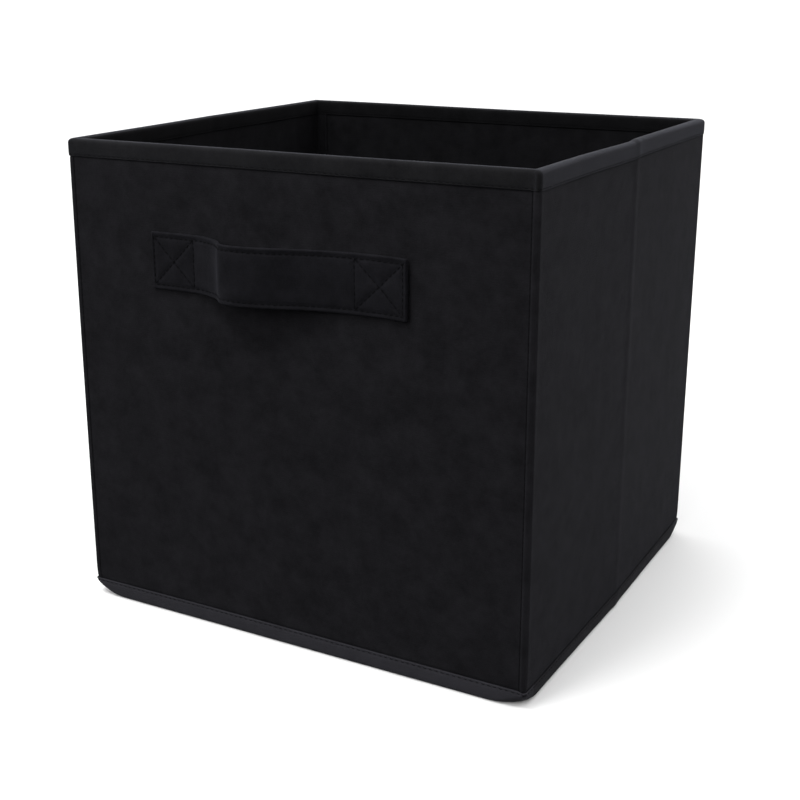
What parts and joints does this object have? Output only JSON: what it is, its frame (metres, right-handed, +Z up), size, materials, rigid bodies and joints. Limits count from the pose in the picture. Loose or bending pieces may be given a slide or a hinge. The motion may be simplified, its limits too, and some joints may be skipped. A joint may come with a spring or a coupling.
{
  "type": "collapsible storage bin",
  "caption": "Open-topped cube storage bin of black fabric over stiff panels, with bound edges and a front strap handle; its sides crease inward so that it folds flat.",
  "frame": {"origin": "middle of the bottom, on the floor", "axes": "+X to the right seen from the front, -Y out of the front wall with the handle, +Z up to the open top"},
  "size_m": [0.2714, 0.2618, 0.262],
  "materials": {
    "outer_fabric": "matte non-woven, faint emboss",
    "lining_fabric": "matte non-woven",
    "binding_tape": "matte folded tape",
    "strap_fabric": "matte folded non-woven",
    "thread": "spun polyester thread",
    "chipboard": "grey-brown pressed board"
  },
  "bodies": {
    "back_wall": {"back_outer_fabric": "outer_fabric", "back_lining": "lining_fabric", "back_board": "chipboard", "back_top_binding": "binding_tape", "back_bottom_binding": "binding_tape", "back_right_corner_seam": "outer_fabric", "back_left_corner_seam": "outer_fabric", "back_right_seam_tape": "lining_fabric", "back_left_seam_tape": "lining_fabric", "base_hinge_strip": "lining_fabric", "bottom_sheet": "outer_fabric"},
    "right_rear_panel": {"right_rear_outer_fabric": "outer_fabric", "right_rear_lining": "lining_fabric", "right_rear_board": "chipboard", "right_rear_top_binding": "binding_tape", "right_rear_bottom_binding": "binding_tape"},
    "right_front_panel": {"right_front_outer_fabric": "outer_fabric", "right_front_lining": "lining_fabric", "right_front_board": "chipboard", "right_front_top_binding": "binding_tape", "right_front_bottom_binding": "binding_tape"},
    "front_wall": {"front_outer_fabric": "outer_fabric", "front_lining": "lining_fabric", "front_board": "chipboard", "front_top_binding": "binding_tape", "front_bottom_binding": "binding_tape", "front_right_corner_seam": "outer_fabric", "front_left_corner_seam": "outer_fabric", "front_right_seam_tape": "lining_fabric", "front_left_seam_tape": "lining_fabric", "handle_strap": "strap_fabric", "handle_stitching": "thread"},
    "left_rear_panel": {"left_rear_outer_fabric": "outer_fabric", "left_rear_lining": "lining_fabric", "left_rear_board": "chipboard", "left_rear_top_binding": "binding_tape", "left_rear_bottom_binding": "binding_tape"},
    "left_front_panel": {"left_front_outer_fabric": "outer_fabric", "left_front_lining": "lining_fabric", "left_front_board": "chipboard", "left_front_top_binding": "binding_tape", "left_front_bottom_binding": "binding_tape"},
    "base_flap": {"base_underside_cover": "outer_fabric", "base_board": "chipboard", "base_top_cover": "lining_fabric"}
  },
  "joints": [
    {"name": "right_rear_fold", "type": "hinge", "parent": "back_wall", "child": "right_rear_panel", "pos_m": [0.1292, 0.1136, 0], "axis": [0, 0, -1], "range_deg": [0, 88], "deforming": ["right_rear_bottom_binding", "right_front_bottom_binding", "left_rear_bottom_binding", "left_front_bottom_binding", "front_bottom_binding"]},
    {"name": "right_crease_fold", "type": "hinge", "parent": "right_rear_panel", "child": "right_front_panel", "pos_m": [0.1359, 0, 0], "axis": [0, 0, 1], "range_deg": [0, 176]},
    {"name": "right_front_fold", "type": "hinge", "parent": "right_front_panel", "child": "front_wall", "pos_m": [0.1292, -0.1136, 0], "axis": [0, 0, -1], "range_deg": [0, 88]},
    {"name": "left_rear_fold", "type": "hinge", "parent": "back_wall", "child": "left_rear_panel", "pos_m": [-0.1292, 0.1136, 0], "axis": [0, 0, 1], "range_deg": [0, 88]},
    {"name": "left_crease_fold", "type": "hinge", "parent": "left_rear_panel", "child": "left_front_panel", "pos_m": [-0.1359, 0, 0], "axis": [0, 0, -1], "range_deg": [0, 176]},
    {"name": "base_lift", "type": "hinge", "parent": "back_wall", "child": "base_flap", "pos_m": [0, 0.1176, 0.0046], "axis": [-1, 0, 0], "range_deg": [0, 90]}
  ],
  "couplings": [
    {"joint": "right_crease_fold", "follows": "right_rear_fold", "ratio": 2},
    {"joint": "right_front_fold", "follows": "right_rear_fold", "ratio": 1},
    {"joint": "left_rear_fold", "follows": "right_rear_fold", "ratio": 1},
    {"joint": "left_crease_fold", "follows": "right_rear_fold", "ratio": 2}
  ]
}
